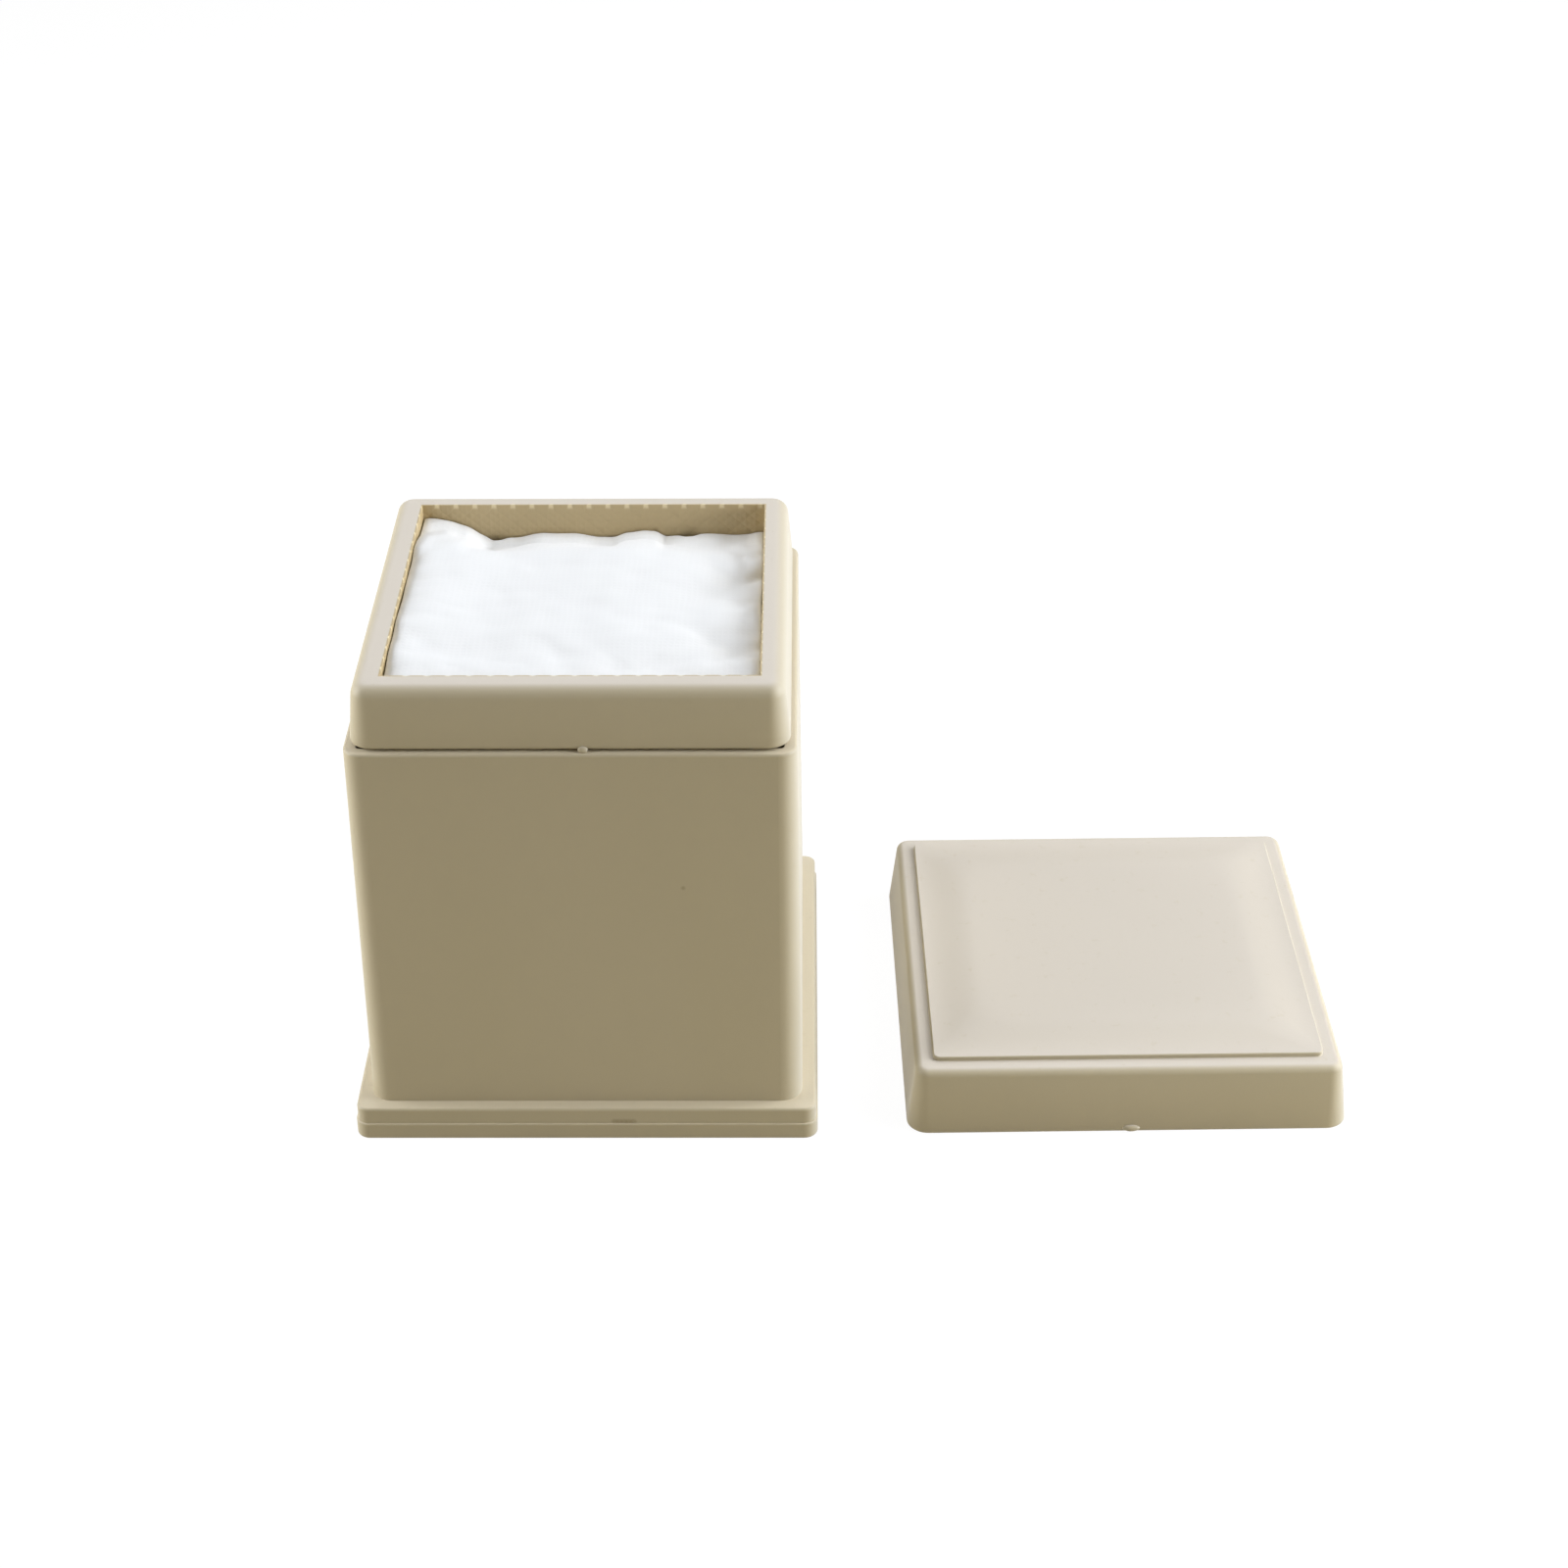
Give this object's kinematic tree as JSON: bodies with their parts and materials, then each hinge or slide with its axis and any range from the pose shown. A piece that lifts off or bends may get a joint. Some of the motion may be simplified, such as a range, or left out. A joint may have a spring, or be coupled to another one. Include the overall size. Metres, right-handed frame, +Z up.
{
  "type": "gauze sponge dispenser",
  "caption": "Square moulded box that feeds folded gauze sponges up to a toothed window, with a spring-loaded follower inside and a pillow-topped lid lying beside it.",
  "frame": {"origin": "centre of the dispenser's foot, on the surface it stands on", "axes": "+Z up through the sponge window; -Y is the front, with the moulding gate marks; +X points to the lid that lies beside the dispenser"},
  "size_m": [0.15, 0.0698, 0.0759],
  "materials": {
    "beige_plastic": "satin moulded beige",
    "white_plastic": "satin moulded white",
    "spring_steel": "drawn wire",
    "gauze": "open cotton weave"
  },
  "bodies": {
    "dispenser": {"housing": "beige_plastic", "base_plate": "beige_plastic", "spring": "spring_steel"},
    "collar": {"collar": "beige_plastic"},
    "stack": {"follower": "white_plastic", "sponge_02": "gauze", "sponge_03": "gauze", "sponge_04": "gauze", "sponge_05": "gauze", "sponge_06": "gauze", "sponge_07": "gauze", "sponge_08": "gauze", "sponge_09": "gauze", "sponge_10": "gauze", "sponge_11": "gauze", "sponge_12": "gauze", "sponge_13": "gauze", "sponge_14": "gauze", "sponge_15": "gauze", "sponge_16": "gauze", "sponge_17": "gauze", "sponge_18": "gauze"},
    "top_sponge": {"sponge_01": "gauze"},
    "lid": {"lid": "beige_plastic"}
  },
  "joints": [
    {"name": "follower_travel", "type": "slide", "parent": "dispenser", "child": "stack", "axis": [0, 0, 1], "range_m": [-0.014, 0], "stiffness_N_per_m": 80, "springref_m": 0.03, "deforming": ["spring"]},
    {"name": "top_sponge_pull", "type": "slide", "parent": "stack", "child": "top_sponge", "axis": [0, 0, 1], "range_m": [0, 0.06]},
    {"name": "collar_lift", "type": "slide", "parent": "dispenser", "child": "collar", "axis": [0, 0, 1], "range_m": [0, 0.03]},
    {"name": "lid_lift", "type": "slide", "parent": "dispenser", "child": "lid", "axis": [0, 0, 1], "range_m": [0, 0.1]}
  ]
}
